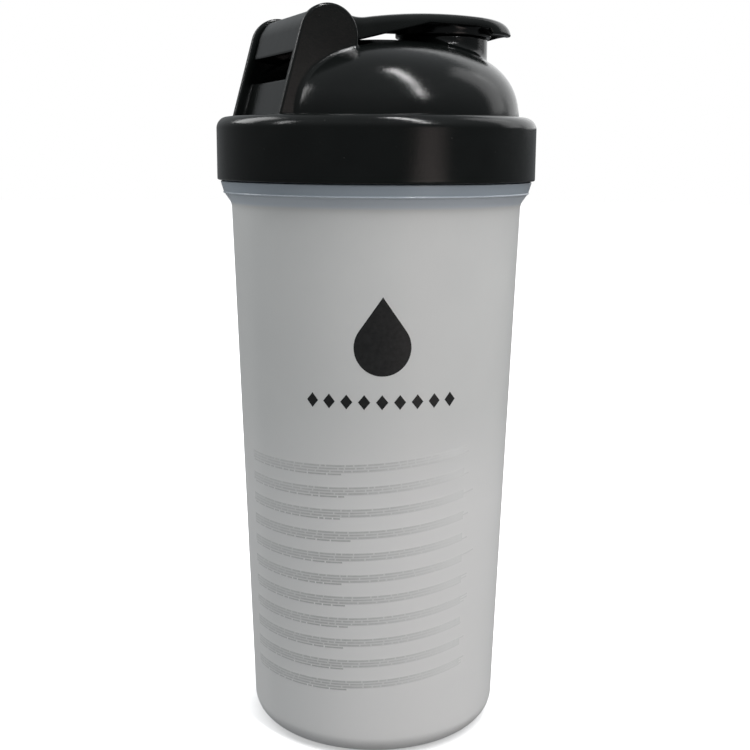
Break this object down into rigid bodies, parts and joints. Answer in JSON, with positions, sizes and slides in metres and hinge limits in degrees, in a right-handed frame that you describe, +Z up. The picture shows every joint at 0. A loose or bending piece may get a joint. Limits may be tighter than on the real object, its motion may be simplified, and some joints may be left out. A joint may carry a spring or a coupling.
{
  "type": "protein shaker bottle",
  "caption": "Tapered translucent shaker cup with a black screw lid, domed top with spout, hinged flip cap, soft seals and a mixing grid.",
  "frame": {"origin": "centre of the base, on the surface that the bottle stands on", "axes": "+Z up along the cup's axis, +X towards the spout, the flip cap's hinge along Y"},
  "size_m": [0.095, 0.095, 0.2161],
  "materials": {
    "frosted_plastic": "frosted translucent, faint moulding ripple",
    "black_plastic": "satin with fine spark-eroded grain",
    "stopper_rubber": "matt soft touch",
    "seal_rubber": "matt silicone",
    "grid_plastic": "semi-matt moulded",
    "black_ink": "satin screen print",
    "grey_ink": "matt screen print"
  },
  "bodies": {
    "cup": {"cup": "frosted_plastic", "drop_emblem_print": "black_ink", "diamond_row_print": "black_ink", "care_print": "grey_ink", "volume_scale_print": "grey_ink"},
    "seal": {"lid_seal_ring": "seal_rubber"},
    "lid": {"lid": "black_plastic", "mixing_grid": "grid_plastic"},
    "flip_cap": {"flip_cap": "black_plastic", "spout_stopper": "stopper_rubber"}
  },
  "joints": [
    {"name": "lid_lift", "type": "slide", "parent": "cup", "child": "seal", "axis": [0, 0, 1], "range_m": [0, 0.011]},
    {"name": "lid_turn", "type": "hinge", "parent": "seal", "child": "lid", "pos_m": [0, 0, 0.187], "axis": [0, 0, 1], "range_deg": [0, 390]},
    {"name": "flip_hinge", "type": "hinge", "parent": "lid", "child": "flip_cap", "pos_m": [-0.0235, 0, 0.2077], "axis": [0, -1, 0], "range_deg": [0, 150]}
  ],
  "couplings": [
    {"joint": "lid_lift", "follows": "lid_turn", "m_per_rad": 0.0015915}
  ]
}
